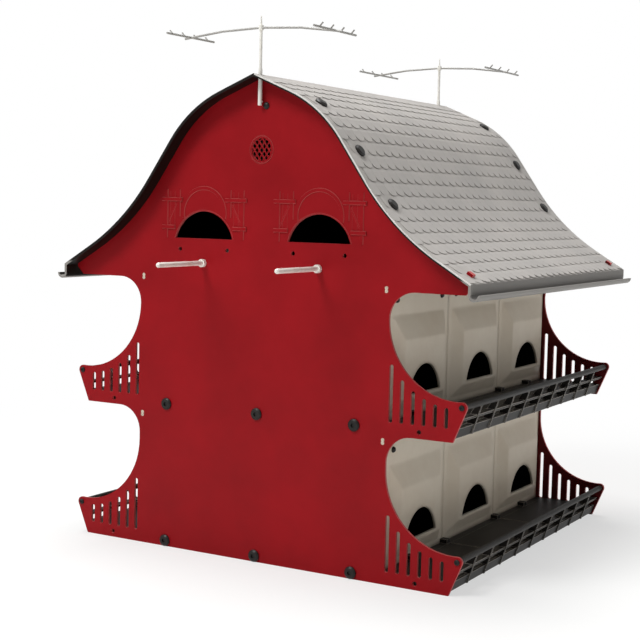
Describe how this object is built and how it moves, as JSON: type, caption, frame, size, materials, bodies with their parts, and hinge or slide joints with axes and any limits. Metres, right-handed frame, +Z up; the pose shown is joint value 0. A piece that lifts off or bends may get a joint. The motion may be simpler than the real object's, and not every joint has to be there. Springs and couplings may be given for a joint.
{
  "type": "purple martin birdhouse",
  "caption": "Barn-shaped martin house with two storeys of side rooms on open porches, attic rooms, a curved roof with gutters, perches and a socket for a pole.",
  "frame": {"origin": "middle of the house on the floor it stands on", "axes": "+X to the right seen from the front, +Y from the front end wall to the rear one, +Z up"},
  "size_m": [0.5354, 0.62, 0.5935],
  "materials": {
    "red_plastic": "satin moulded barn red",
    "grey_plastic": "satin moulded grey with shingle relief",
    "white_plastic": "satin moulded cream white",
    "black_plastic": "satin moulded black",
    "ivory_plastic": "gloss moulded ivory",
    "wire": "grey coated wire"
  },
  "bodies": {
    "root": {"front_wall": "red_plastic", "rear_wall": "red_plastic", "left_roof": "grey_plastic", "right_roof": "grey_plastic", "left_lower_floor": "black_plastic", "right_lower_floor": "black_plastic", "upper_floor": "black_plastic", "pole_keel": "black_plastic", "attic_floor": "black_plastic", "left_lower_rail": "black_plastic", "left_upper_rail": "black_plastic", "right_lower_rail": "black_plastic", "right_upper_rail": "black_plastic", "left_lower_front_1": "white_plastic", "left_lower_front_2": "white_plastic", "left_lower_front_3": "white_plastic", "left_upper_front_1": "white_plastic", "left_upper_front_2": "white_plastic", "left_upper_front_3": "white_plastic", "right_lower_front_1": "white_plastic", "right_lower_front_2": "white_plastic", "right_lower_front_3": "white_plastic", "right_upper_front_1": "white_plastic", "right_upper_front_2": "white_plastic", "right_upper_front_3": "white_plastic", "lower_room_backs": "black_plastic", "upper_room_backs": "black_plastic", "lower_room_dividers": "black_plastic", "upper_room_dividers": "black_plastic", "attic_partition": "black_plastic", "front_vent": "red_plastic", "rear_vent": "red_plastic", "front_left_perch": "ivory_plastic", "front_right_perch": "ivory_plastic", "rear_left_perch": "ivory_plastic", "rear_right_perch": "ivory_plastic", "front_mast": "ivory_plastic", "rear_mast": "ivory_plastic", "front_arm": "wire", "rear_arm": "wire", "front_wall_bolts": "black_plastic", "rear_wall_bolts": "black_plastic", "left_roof_plugs": "black_plastic", "right_roof_plugs": "black_plastic"}
  },
  "joints": []
}
